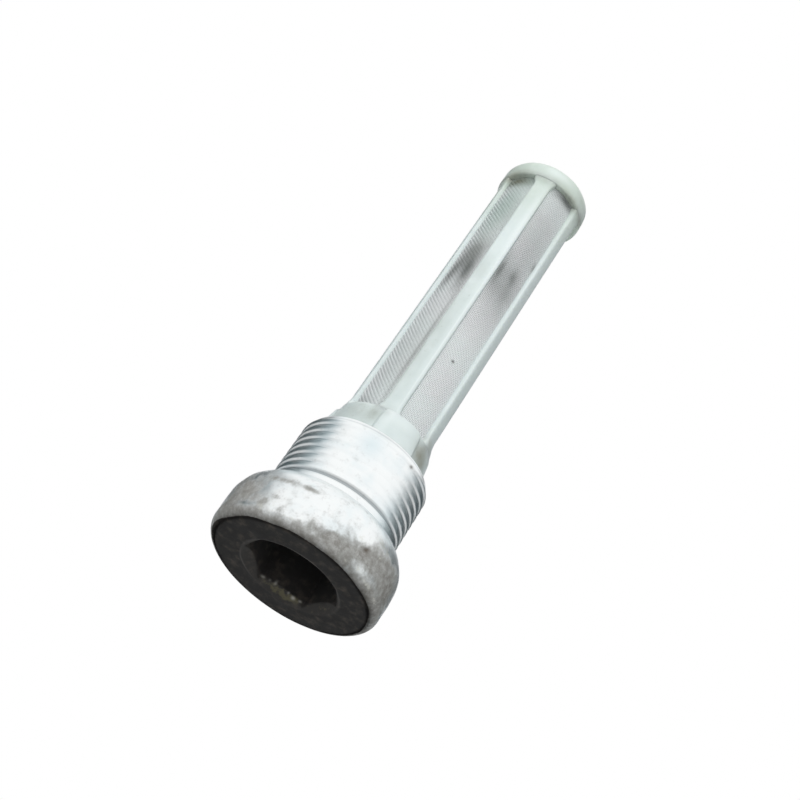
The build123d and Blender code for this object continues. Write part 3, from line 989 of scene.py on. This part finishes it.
@dataclass
class StrainerFrame:
    """Nylon moulding: spigot, tapered collar with pads, five ribs and the ring at the tip."""

    inner_radius: float = 6.2
    spigot_radius: float = 8.97
    spigot_low: float = 14.8
    mouth: float = 23.3
    collar_top: float = 28.8
    collar_top_radius: float = 8.2
    pad_radius: float = 9.7
    pad_top_radius: float = 8.55
    pad_half_width: float = 4.1
    pad_angles: tuple[float, ...] = (9.0, 129.0, -111.0)
    pad_gap: float = 0.14
    rib_radius: float = 7.7
    rib_half_width: float = 1.5
    rib_angles: tuple[float, ...] = (-12.5, 59.5, 131.5, -156.5, -84.5)
    rib_flare: float = 2.6
    window_high: float = 86.5
    tip: float = 90.5
    tip_radius: float = 8.15
    tip_round: float = 1.6
    tip_mouth_radius: float = 5.9
    columns: int = 240

    # Grey film marks. Those beside the collar's pads, along the centre rib's left side and under the tip ring paint
    # shade and shadow along with the oil film.
    grime_and_shade_marks: tuple[Mark, ...] = (
        Mark(-40.0, 26.6, 20.0, 2.4, 0.4),
        Mark(-22.0, 26.3, 5.0, 1.8, 0.45),
        Mark(-12.5, 27.6, 5.0, 0.8, 0.25),
        Mark(47.0, 26.2, 13.0, 2.2, 0.75),
        Mark(52.0, 88.2, 16.0, 1.6, 0.35),
        Mark(-22.0, 62.0, 7.0, 3.0, 0.2),
        Mark(-20.5, 46.0, 5.5, 14.0, 0.2),
        Mark(-27.0, 42.0, 3.5, 16.0, 0.55),
        Mark(-50.0, 86.5, 40.0, 0.9, 0.6),
        Mark(30.0, 86.5, 30.0, 0.8, 0.5),
        Mark(150.0, 26.0, 40.0, 2.0, 0.35),
    )
    # Brown stain marks; the three at height 86.4 under the tip ring also paint the ring's shadow.
    tan_marks: tuple[Mark, ...] = (
        Mark(47.0, 26.0, 11.0, 1.9, 0.85),
        Mark(50.0, 29.8, 5.0, 1.2, 0.35),
        Mark(-62.0, 86.4, 22.0, 0.9, 0.5),
        Mark(-68.0, 88.6, 8.0, 0.9, 0.35),
        Mark(30.0, 86.4, 20.0, 0.6, 0.35),
        Mark(66.0, 86.4, 12.0, 0.9, 0.5),
        Mark(-170.0, 25.5, 14.0, 2.0, 0.4),
    )
    # Painted highlights: along the ribs, on the pads' top lip and on the tip ring's top.
    painted_highlight_marks: tuple[Mark, ...] = (
        Mark(-7.0, 46.0, 5.0, 22.0, 0.9),
        Mark(-10.0, 74.0, 10.0, 12.0, 0.7),
        Mark(8.0, 27.6, 20.0, 1.6, 0.5),
        Mark(60.0, 60.0, 12.0, 40.0, 0.7),
        Mark(0.0, 88.6, 26.0, 1.0, 0.5),
    )

    def values(self, front: np.ndarray, height: np.ndarray) -> dict[str, np.ndarray]:
        """Where the moulding is grey with film and painted shade, where it is brown, and where highlights are painted.

        Args:
            front: front angles in degrees.
            height: heights in millimetres.

        Returns:
            Values by name.
        """
        return {
            "grime_and_shade": all_marks(self.grime_and_shade_marks, front, height),
            "tan": all_marks(self.tan_marks, front, height),
            "aged": smoothstep(70.0, 88.0, height),
            "painted_highlight": all_marks(self.painted_highlight_marks, front, height),
        }

    def pad_share(self, front: np.ndarray, height: np.ndarray) -> np.ndarray:
        """Share by which a pad stands proud: 1 inside a rounded rectangle, falling to 0 over a soft edge.

        The rectangle's distance is the longest of the ways past its half width and past its top, with the corner
        taken as the root of their squares.

        Args:
            front: front angles in degrees.
            height: heights in millimetres.

        Returns:
            Shares of 0 to 1.
        """
        total = np.zeros(front.shape)
        corner = 1.1
        for angle in self.pad_angles:
            across = np.abs(np.radians(angle_gap(front, angle))) * self.pad_radius
            past_side = np.maximum(across - (self.pad_half_width - corner), 0.0)
            past_top = np.maximum(height - (self.collar_top + 0.1 - corner), 0.0)
            distance = np.sqrt(past_side**2 + past_top**2) - corner
            total = np.maximum(total, smoothstep(0.16, -0.16, distance))
        return total

    def collar(self) -> Surface:
        """Spigot, collar and pads as one closed ring.

        The outside's radius runs straight from the mouth to the top, and a pad adds the difference between its
        own straight taper and the collar's, times its share.

        Returns:
            The surface.
        """
        angle = np.linspace(0.0, 2.0 * math.pi, self.columns, endpoint=False)
        top_round = 0.35
        turn_in = run(0.0, math.pi / 2.0, 6)
        rise = run(self.mouth, self.collar_top - top_round, 44)
        rows = [
            (run(self.inner_radius, self.spigot_radius - 0.5, 5), np.full(5, self.spigot_low)),
            (run(self.spigot_radius - 0.5, self.spigot_radius, 3), run(self.spigot_low, self.spigot_low + 0.5, 3)),
            (np.full(10, self.spigot_radius), run(self.spigot_low + 0.5, self.mouth - 0.01, 10)),
            (np.interp(rise, [self.mouth, self.collar_top], [self.spigot_radius, self.collar_top_radius]), rise),
            (
                self.collar_top_radius - top_round * (1.0 - np.cos(turn_in)),
                self.collar_top - top_round * (1.0 - np.sin(turn_in)),
            ),
            (run(self.collar_top_radius - top_round, self.inner_radius, 8), np.full(8, self.collar_top)),
            (np.full(14, self.inner_radius), run(self.collar_top, self.spigot_low, 14)),
        ]
        profile_r = np.concatenate([row[0] for row in rows])
        profile_z = np.concatenate([row[1] for row in rows])
        shape = (len(profile_r), self.columns)
        radius = np.broadcast_to(profile_r[:, None], shape)
        height = np.broadcast_to(profile_z[:, None], shape).copy()
        turn = np.broadcast_to(angle[None, :], shape)
        front = angle_gap(np.degrees(turn), FRONT)
        straight = np.interp(height, [self.mouth, self.collar_top], [self.spigot_radius, self.collar_top_radius])
        proud = np.interp(height, [self.mouth, self.collar_top], [self.pad_radius, self.pad_top_radius]) - straight
        outside = (radius > self.collar_top_radius - 0.5) & (height >= self.mouth)
        share = self.pad_share(front, height) * outside
        share = share * smoothstep(self.mouth + self.pad_gap - 0.04, self.mouth + self.pad_gap + 0.1, height)
        radius = radius + share * proud
        return Surface.grid(
            radius * np.cos(turn), radius * np.sin(turn), height, Shape.LOOP, self.values(front, height)
        )

    def rib(self, front_angle: float) -> Surface:
        """One rib as a rounded bar along the axis.

        The cross-section is a superellipse, half width times |cos|^0.3 across and half depth times |sin|^0.3
        outwards, bent to the rib's radius. The half width grows by a bell near both ends, and the outer radius
        falls straight from the collar to the rib over the flare's length.

        Args:
            front_angle: the rib's front angle in degrees.

        Returns:
            The surface.
        """
        around = np.linspace(0.0, 2.0 * math.pi, 48, endpoint=False)[None, :]
        height = np.concatenate(
            [run(self.collar_top - 0.8, self.collar_top + 4.0, 26), run(self.collar_top + 4.0, self.window_high - 3.0, 24),
             np.linspace(self.window_high - 3.0, self.window_high + 0.8, 26)]
        )[:, None]
        foot = bell(np.maximum(height - self.collar_top, 0.0), 0.9)
        head = bell(np.maximum(self.window_high - height, 0.0), 0.9)
        half_width = self.rib_half_width + 0.45 * foot + 0.55 * head
        flare = np.clip(1.0 - (height - self.collar_top) / self.rib_flare, 0.0, 1.0) ** 1.4
        outer = self.rib_radius + (self.collar_top_radius - self.rib_radius - 0.02) * flare + 0.28 * head
        middle = (outer + self.inner_radius) / 2.0
        half_depth = (outer - self.inner_radius) / 2.0
        cosine, sine = np.cos(around), np.sin(around)
        across = half_width * np.sign(cosine) * np.abs(cosine) ** 0.3
        crown = across**2 / (2.0 * outer) * (sine > 0.0)
        out = middle + half_depth * np.sign(sine) * np.abs(sine) ** 0.3 - crown
        turn = math.radians(front_angle + FRONT)
        x = out * math.cos(turn) - across * math.sin(turn)
        y = out * math.sin(turn) + across * math.cos(turn)
        z = np.broadcast_to(height, x.shape)
        front = angle_gap(np.degrees(np.arctan2(y, x)), FRONT)
        surface = Surface.grid(x[:, ::-1], y[:, ::-1], z, Shape.SHEET, self.values(front, z))
        return surface

    def tip_ring(self) -> Surface:
        """The ring at the tip as one closed ring: a quarter circle at its outer shoulder, small rounds elsewhere.

        Returns:
            The surface.
        """
        angle = np.linspace(0.0, 2.0 * math.pi, self.columns, endpoint=False)
        small = 0.3
        turn = run(0.0, math.pi / 2.0, 8)
        low, high = self.window_high, self.tip
        outer, mouth = self.tip_radius, self.tip_mouth_radius
        rows = [
            (run(mouth + small, outer - small, 10), np.full(10, low)),
            (outer - small + small * np.sin(turn), low + small * (1.0 - np.cos(turn))),
            (np.full(8, outer), run(low + small, high - self.tip_round, 8)),
            (outer - self.tip_round * (1.0 - np.cos(turn)), high - self.tip_round * (1.0 - np.sin(turn))),
            (run(outer - self.tip_round, mouth + small, 4), np.full(4, high)),
            (mouth + small * (1.0 - np.sin(turn)), high - small * (1.0 - np.cos(turn))),
            (np.full(8, mouth), run(high - small, low + small, 8)),
            (mouth + small * (1.0 - np.cos(turn)), low + small * (1.0 - np.sin(turn))),
        ]
        radius = np.concatenate([row[0] for row in rows])[:, None]
        height = np.concatenate([row[1] for row in rows])[:, None]
        wave = 0.02 * ripple(angle[None, :], height, 21, 12) * (radius > mouth + 1.0) - 0.03
        radius = radius + np.minimum(wave, 0.0)
        turned = np.broadcast_to(angle[None, :], radius.shape)
        height = np.broadcast_to(height, radius.shape)
        front = angle_gap(np.degrees(turned), FRONT)
        return Surface.grid(
            radius * np.cos(turned), radius * np.sin(turned), height, Shape.LOOP, self.values(front, height)
        )

    def build(self, finish: bpy.types.Material) -> bpy.types.Object:
        """Make the moulding and let it stand for the CAD node.

        Args:
            finish: its material.

        Returns:
            The piece.
        """
        parts = [self.collar(), self.tip_ring(), *(self.rib(angle) for angle in self.rib_angles)]
        piece = Surface.joined(parts).to_piece("strainer_frame_moulding", finish, Slot.FRAME)
        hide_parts("strainer_frame")
        return piece


# The gauze


@dataclass
class WovenGauze:
    """Twill woven wire between the ribs: hoop wires pass over two lengthwise wires and under one."""

    radius: float = 6.98
    low: float = 28.4
    high: float = 86.9
    window_half_angle: float = 24.6
    window_angles: tuple[float, ...] = (23.5, 95.5, 167.5, -120.5, -48.5)
    lengthwise_wires: int = 24
    hoop_wires: int = 226
    wire_width: float = 0.126
    wire_depth: float = 0.06
    swing: float = 0.035

    # Dark oily marks; the strip at -29.5 degrees beside the centre rib paints shadow, and the bands at heights 85.6 and
    # 86 under the tip ring paint shadow as well as oil.
    smudge_and_shade_marks: tuple[Mark, ...] = (
        Mark(-36.0, 61.5, 8.0, 4.6, 0.85),
        Mark(-60.0, 61.0, 9.0, 4.2, 0.72),
        Mark(-48.0, 63.5, 10.0, 3.4, 0.6),
        Mark(-46.0, 67.5, 20.0, 2.6, 0.5),
        Mark(-29.5, 44.0, 2.4, 14.0, 0.5),
        Mark(3.0, 64.5, 4.0, 3.6, 0.55),
        Mark(10.0, 63.0, 8.0, 4.5, 0.28),
        Mark(25.0, 64.8, 7.0, 2.0, 0.42),
        Mark(28.0, 61.0, 10.0, 2.0, 0.2),
        Mark(47.0, 70.4, 5.0, 1.0, 0.5),
        Mark(24.0, 72.0, 34.0, 14.0, 0.36),
        Mark(30.0, 60.0, 26.0, 6.0, 0.22),
        Mark(100.0, 50.0, 18.0, 8.0, 0.4),
        Mark(160.0, 70.0, 14.0, 7.0, 0.35),
        Mark(-125.0, 66.0, 16.0, 7.0, 0.4),
        Mark(-54.0, 85.6, 24.0, 1.3, 0.95),
        Mark(30.0, 86.0, 22.0, 1.0, 0.85),
        Mark(-60.0, 30.3, 12.0, 0.8, 0.3),
    )
    specks: tuple[Mark, ...] = (Mark(19.3, 43.8, 1.8, 0.22, 1.2),)
    # Strength of the painted weave shade, strongest on the lower left panel.
    crisp: tuple[Mark, ...] = (Mark(-48.0, 36.0, 22.0, 13.0, 0.22),)
    # Green cast; the band at height 86 also tints the painted shadow under the tip ring olive.
    casts: tuple[Mark, ...] = (
        Mark(-45.0, 78.0, 25.0, 9.0, 1.0),
        Mark(-40.0, 42.0, 25.0, 12.0, 0.3),
        Mark(-50.0, 86.0, 40.0, 1.6, 1.0),
    )

    def wires(self, along: np.ndarray, sideways: np.ndarray, outward: np.ndarray) -> tuple[np.ndarray, np.ndarray]:
        """Four-sided tubes round many paths at once.

        Each ring of a tube is its path point plus and minus half the wire's width and depth along the two directions.

        Args:
            along: path points, wires by steps by 3.
            sideways: unit directions across each wire, of the same shape.
            outward: unit directions away from the axis, of the same shape.

        Returns:
            Points, and quads that index them.
        """
        count, steps, _ = along.shape
        corners = [(1.0, 0.0), (0.0, 1.0), (-1.0, 0.0), (0.0, -1.0)]
        rings = [along + self.wire_width * a * sideways + self.wire_depth * b * outward for a, b in corners]
        points = np.stack(rings, axis=2).reshape(-1, 3)
        base = (np.arange(count)[:, None, None] * steps + np.arange(steps - 1)[None, :, None]) * 4
        side = np.arange(4)[None, None, :]
        after = (side + 1) % 4
        quads = np.stack([base + side, base + after, base + 4 + after, base + 4 + side], axis=-1).reshape(-1, 4)
        return points, quads

    def panel(self, middle: float) -> Surface:
        """One window's gauze as straight lengthwise wires crossed by hoop wires.

        At crossing (i, j) the hoop wire lies inside where (i + j) leaves no rest when divided by three, and
        outside elsewhere; the lengthwise wire swings the other way.

        Args:
            middle: the window's front angle in degrees.

        Returns:
            The surface.
        """
        half = self.window_half_angle
        turn = np.radians(np.linspace(middle - half, middle + half, self.lengthwise_wires) + FRONT)
        height = np.linspace(self.low, self.high, self.hoop_wires)
        lengthwise, hoops = np.meshgrid(np.arange(self.lengthwise_wires), np.arange(self.hoop_wires), indexing="ij")
        inside = (lengthwise + hoops) % 3 == 0
        hoop_swing = np.where(inside, -self.swing, 0.6 * self.swing)
        length_swing = np.where(inside, self.swing, -0.6 * self.swing)
        turn_grid, height_grid = np.meshgrid(turn, height, indexing="ij")
        outward = np.stack([np.cos(turn_grid), np.sin(turn_grid), np.zeros_like(turn_grid)], axis=-1)
        tangent = np.stack([-np.sin(turn_grid), np.cos(turn_grid), np.zeros_like(turn_grid)], axis=-1)
        upward = np.broadcast_to(np.array([0.0, 0.0, 1.0]), outward.shape)

        def path(swing: np.ndarray) -> np.ndarray:
            """Points of the wires for one swing."""
            flat = (self.radius + swing)[..., None] * outward
            return flat + height_grid[..., None] * upward

        points_a, quads_a = self.wires(path(length_swing), -tangent, outward)
        swap = (1, 0, 2)
        points_b, quads_b = self.wires(
            path(hoop_swing).transpose(swap), upward.transpose(swap), outward.transpose(swap)
        )
        points = np.concatenate([points_a, points_b])
        quads = np.concatenate([quads_a, quads_b + len(points_a)])
        front = angle_gap(np.degrees(np.arctan2(points[:, 1], points[:, 0])), FRONT)
        # Painted shade on the wire parts that lie inside at a crossing.
        crisp = 0.06 + all_marks(self.crisp, front, points[:, 2])
        lay = np.concatenate([np.repeat(inside.reshape(-1), 4), np.repeat(inside.T.reshape(-1), 4)])
        values = {
            "painted_valley_shade": crisp * (1.0 - lay),
            "smudge_and_shade": all_marks(self.smudge_and_shade_marks, front, points[:, 2]),
            "speck": all_marks(self.specks, front, points[:, 2]),
            "cast": all_marks(self.casts, front, points[:, 2]),
        }
        wrap = np.stack([front / 360.0 + 0.5, points[:, 2] / 100.0], axis=-1)
        return Surface(points, quads, np.zeros((0, 3), int), wrap, values)

    def build(self, finish: bpy.types.Material) -> list[bpy.types.Object]:
        """Make one panel per window and let them stand for the CAD node.

        Args:
            finish: their material.

        Returns:
            The pieces.
        """
        pieces = []
        for number, middle in enumerate(self.window_angles, start=1):
            piece = self.panel(middle).to_piece(f"gauze_panel_{number}", finish, Slot.GAUZE)
            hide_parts("gauze_sleeve")
            pieces.append(piece)
        return pieces


# Studio


@dataclass(frozen=True)
class SoftLamp:
    """One square soft lamp, given by where it stands, its side and its strength."""

    name: str
    place: tuple[float, float, float]
    side: float
    watts: float
    aim: tuple[float, float, float] = (0.0, 0.0, 0.035)

    def build(self) -> None:
        """Add the lamp and turn it to its aim."""
        data = bpy.data.lights.new(self.name, "AREA")
        data.size = self.side
        data.energy = self.watts
        lamp = bpy.data.objects.new(self.name, data)
        lamp.visible_glossy = False
        bpy.context.scene.collection.objects.link(lamp)
        there = Matrix.Translation(self.place)
        towards = (there.inverted() @ Matrix.Translation(self.aim)).translation
        lamp.matrix_world = there @ towards.to_track_quat("-Z", "Y").to_matrix().to_4x4()


@dataclass
class Studio:
    """Pale floor, white surroundings, soft lamps, dark side cards and the camera."""

    hole_radius: float = 0.0128
    floor_radius: float = 1.6
    floor_drop: float = 0.00005
    floor_colour: Colour = (0.86, 0.86, 0.86)
    daylight: float = 0.56
    lens: float = 65.079
    camera_place: tuple[float, float, float] = (0.0, -0.193658, -0.089375)
    camera_right: tuple[float, float, float] = (0.829574, -0.300553, 0.470611)
    camera_up: tuple[float, float, float] = (-0.558372, -0.454566, 0.693968)
    camera_back: tuple[float, float, float] = (0.00535, -0.838473, -0.544916)
    lamps: tuple[SoftLamp, ...] = (
        SoftLamp("key_lamp", (-0.2, -0.6, 0.32), 0.42, 2.3),
        SoftLamp("back_lamp", (0.30, 0.60, 0.42), 0.5, 1.5),
    )
    under_card_radius: float = 0.35
    under_card_drop: float = 0.12
    card_angles: tuple[float, ...] = (118.0, -118.0)
    card_half_angle: float = 37.0
    card_fade: tuple[float, float] = (-0.06, 0.22)
    card_front: Colour = (0.20, 0.27, 0.29)
    card_back: Colour = (0.02, 0.042, 0.05)
    card_radius: float = 0.42
    card_height: float = 0.5

    def floor(self) -> None:
        """A disc with a hole under the head, seen from above only, fading out towards its rim."""
        radius = self.hole_radius * (self.floor_radius / self.hole_radius) ** np.linspace(0.0, 1.0, 40)[:, None]
        turn = np.linspace(0.0, 2.0 * math.pi, 96, endpoint=False)[None, ::-1]
        x, y = radius * np.cos(turn) / MM, radius * np.sin(turn) / MM
        z = np.full(x.shape, -self.floor_drop / MM)
        surface = Surface.grid(x, y, z, Shape.SHEET, {})
        material, board, shader = new_material("pale_floor")
        shader.inputs["Base Color"].default_value = (*self.floor_colour, 1.0)
        shader.inputs["Roughness"].default_value = 0.9
        shader.inputs["Specular IOR Level"].default_value = 0.0
        reach = board.put("ShaderNodeVectorMath", {"operation": "LENGTH"}, {0: board.place()}).outputs["Value"]
        gone = board.rise(reach, 0.25, 1.4)
        below = board.put("ShaderNodeNewGeometry").outputs["Backfacing"]
        clear = board.put("ShaderNodeBsdfTransparent")
        share = board.math("MAXIMUM", gone, below)
        mixed = board.put("ShaderNodeMixShader", None, {0: share, 1: shader.outputs[0], 2: clear.outputs[0]})
        output = next(n for n in board.tree.nodes if n.type == "OUTPUT_MATERIAL")
        board.tree.links.new(mixed.outputs[0], output.inputs["Surface"])
        self.add_stage("floor", surface, material)

    @staticmethod
    def add_stage(name: str, surface: Surface, material: bpy.types.Material) -> bpy.types.Object:
        """Add an object that isn't part of the strainer.

        Args:
            name: its name.
            surface: its surface.
            material: its finish.

        Returns:
            The object.
        """
        mesh = bpy.data.meshes.new(name)
        mesh.from_pydata((surface.points * MM).tolist(), [], surface.quads.tolist())
        mesh.materials.append(material)
        thing = bpy.data.objects.new(name, mesh)
        bpy.context.scene.collection.objects.link(thing)
        return thing

    def cards(self) -> None:
        """Dark cards at both sides and under the floor, which the metal mirrors and the camera doesn't see."""
        material, board, shader = new_material("dark_card")
        depth = board.put("ShaderNodeVectorMath", {"operation": "DOT_PRODUCT"}, {0: board.place(), 1: (0.0, 1.0, 0.0)})
        backwards = board.rise(depth.outputs["Value"], *self.card_fade)
        board.tree.links.new(board.blend(backwards, self.card_front, self.card_back), shader.inputs["Base Color"])
        shader.inputs["Roughness"].default_value = 1.0
        shader.inputs["Specular IOR Level"].default_value = 0.0
        radius = np.linspace(0.002, self.under_card_radius, 6)[:, None] / MM
        turn = np.linspace(0.0, 2.0 * math.pi, 48, endpoint=False)[None, ::-1]
        drop = np.full((6, 48), -self.under_card_drop / MM)
        under = Surface.grid(radius * np.cos(turn), radius * np.sin(turn), drop, Shape.SHEET, {})
        things = [self.add_stage("under_card", under, material)]
        things[0].visible_diffuse = False
        for number, middle in enumerate(self.card_angles, start=1):
            span = np.linspace(middle - self.card_half_angle, middle + self.card_half_angle, 12)
            turn = np.radians(span + FRONT)[None, :]
            height = np.linspace(0.01, self.card_height, 6)[:, None] / MM
            x = self.card_radius / MM * np.cos(turn) + 0.0 * height
            y = self.card_radius / MM * np.sin(turn) + 0.0 * height
            surface = Surface.grid(x, y, height + 0.0 * x, Shape.SHEET, {}, closed=False)
            card = self.add_stage(f"side_card_{number}", surface, material)
            things.append(card)
        for thing in things:
            thing.visible_camera = False
            thing.visible_shadow = False

    def world(self) -> None:
        """White for what the camera, mirrors and glass see, dimmer as light on dull surfaces."""
        world = bpy.data.worlds.new("studio")
        world.use_nodes = True
        world.node_tree.nodes.clear()
        board = NodeBoard(world.node_tree)
        path = board.put("ShaderNodeLightPath")
        seen = board.math("MAXIMUM", path.outputs["Is Camera Ray"], path.outputs["Is Glossy Ray"])
        seen = board.math("MAXIMUM", seen, path.outputs["Is Transmission Ray"])
        strength = board.between(seen, self.daylight, 1.0)
        sky = board.put("ShaderNodeBackground", None, {"Color": (1.0, 1.0, 1.0, 1.0), "Strength": strength})
        board.put("ShaderNodeOutputWorld", None, {"Surface": sky.outputs[0]})
        bpy.context.scene.world = world

    def camera(self) -> None:
        """The camera at the photograph's place, turned by its own three directions."""
        data = bpy.data.cameras.new("photo_camera")
        data.lens = self.lens
        data.sensor_width = 36.0
        data.clip_start = 0.005
        camera = bpy.data.objects.new("photo_camera", data)
        bpy.context.scene.collection.objects.link(camera)
        columns = (self.camera_right, self.camera_up, self.camera_back, self.camera_place)
        rows = [[column[axis] for column in columns] for axis in range(3)]
        camera.matrix_world = Matrix([*rows, [0.0, 0.0, 0.0, 1.0]])
        bpy.context.scene.camera = camera

    def build(self) -> None:
        """Set up the whole studio."""
        self.world()
        self.floor()
        self.cards()
        for lamp in self.lamps:
            lamp.build()
        self.camera()
        bpy.context.scene.view_settings.view_transform = "Standard"


def main() -> None:
    """Build the strainer piece by piece, then the studio."""
    effects = SharedEffects()
    ScrewPlug().build(WornZinc().make(effects))
    StrainerFrame().build(MilkyNylon().make(effects))
    WovenGauze().build(SteelWire().make(effects))
    Studio().build()


if __name__ == "__main__":
    main()
